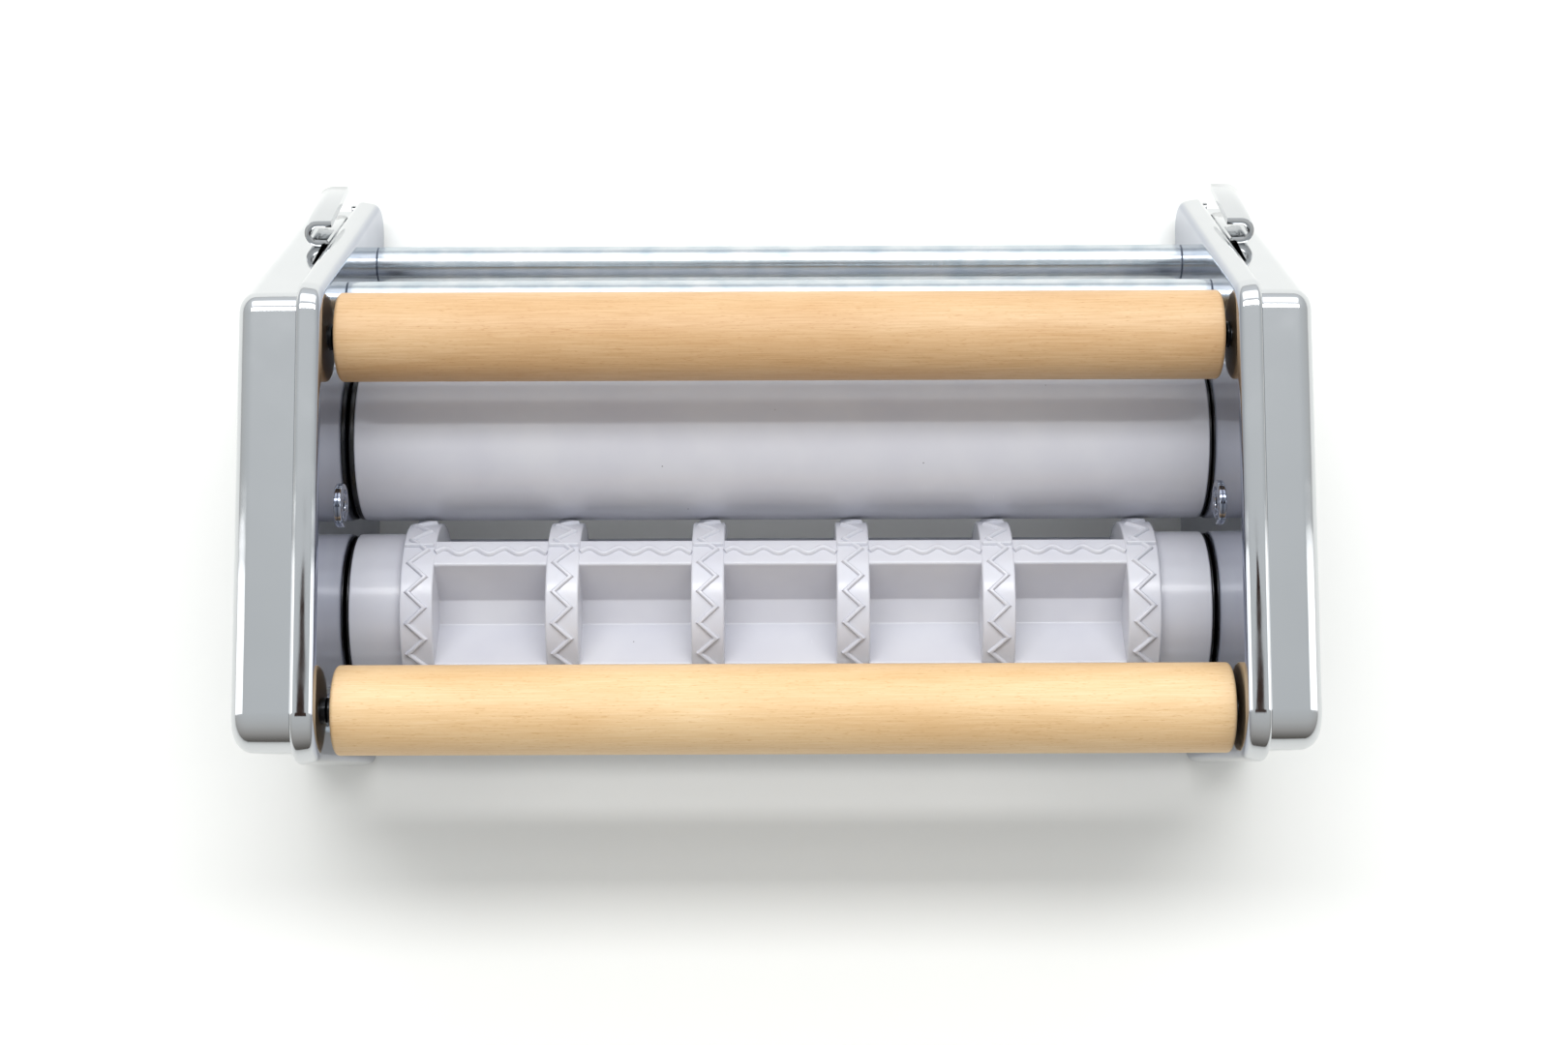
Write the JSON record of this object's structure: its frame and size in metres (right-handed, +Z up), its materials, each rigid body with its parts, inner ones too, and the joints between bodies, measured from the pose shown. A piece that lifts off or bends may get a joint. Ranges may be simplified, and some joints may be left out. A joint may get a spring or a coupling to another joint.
{
  "type": "ravioli roller attachment",
  "caption": "Ravioli roller attachment for a hand-cranked pasta machine: chromed side panels with hooks, wooden guide rollers and a pocketed dough roller geared to a smooth one.",
  "frame": {"origin": "on the table surface, under the middle of the overall box", "axes": "+X along the rollers towards the crank socket, +Y back towards the hooks, +Z up"},
  "size_m": [0.2126, 0.1272, 0.076],
  "materials": {
    "chromed_steel": "bright chrome plate on pressed steel",
    "zinc_steel": "bright blue zinc plate on drawn bar",
    "turned_steel": "turned and oiled steel",
    "spring_steel": "blackened spring steel",
    "white_plastic": "moulded acetal, satin gloss",
    "beech": "turned and sanded, unvarnished",
    "black_nylon": "moulded",
    "natural_nylon": "moulded"
  },
  "bodies": {
    "frame": {"left_side_frame": "chromed_steel", "right_side_frame": "chromed_steel", "left_side_cover": "chromed_steel", "right_side_cover": "chromed_steel", "left_hook": "chromed_steel", "right_hook": "chromed_steel", "hook_rivets": "turned_steel", "rear_upper_tie_rod": "zinc_steel", "rear_lower_tie_rod": "zinc_steel", "front_tie_rod": "zinc_steel", "tie_rod_screws": "zinc_steel", "left_hopper_stud": "chromed_steel", "right_hopper_stud": "chromed_steel", "cover_posts": "turned_steel", "cover_screws": "zinc_steel", "rear_guide_axle": "turned_steel", "front_guide_axle": "turned_steel", "guide_spacers": "black_nylon", "guide_axle_clips": "spring_steel", "roller_bushes": "natural_nylon"},
    "ravioli_roller": {"ravioli_roller": "white_plastic", "ravioli_roller_shaft": "turned_steel", "ravioli_roller_gear": "turned_steel", "ravioli_gear_pin": "turned_steel", "ravioli_shaft_clips": "spring_steel", "ravioli_end_discs": "black_nylon"},
    "smooth_roller": {"smooth_end_discs": "black_nylon", "smooth_roller_sleeve": "white_plastic", "smooth_roller_plugs": "turned_steel", "smooth_roller_shaft": "turned_steel", "smooth_roller_gear": "turned_steel", "smooth_gear_pin": "turned_steel", "smooth_shaft_clips": "spring_steel"},
    "rear_guide_roller": {"rear_guide_roller": "beech"},
    "front_guide_roller": {"front_guide_roller": "beech"}
  },
  "joints": [
    {"name": "ravioli_roller_spin", "type": "hinge", "parent": "frame", "child": "ravioli_roller", "pos_m": [0.0008, -0.03074, 0.0285], "axis": [1, 0, 0], "continuous": true},
    {"name": "smooth_roller_spin", "type": "hinge", "parent": "frame", "child": "smooth_roller", "pos_m": [0.0008, 0.00526, 0.0285], "axis": [1, 0, 0], "continuous": true},
    {"name": "rear_guide_roller_spin", "type": "hinge", "parent": "frame", "child": "rear_guide_roller", "pos_m": [0.0008, 0.02246, 0.0607], "axis": [1, 0, 0], "continuous": true},
    {"name": "front_guide_roller_spin", "type": "hinge", "parent": "frame", "child": "front_guide_roller", "pos_m": [0.0008, -0.05274, 0.0607], "axis": [1, 0, 0], "continuous": true}
  ],
  "couplings": [
    {"joint": "smooth_roller_spin", "follows": "ravioli_roller_spin", "ratio": -1}
  ]
}
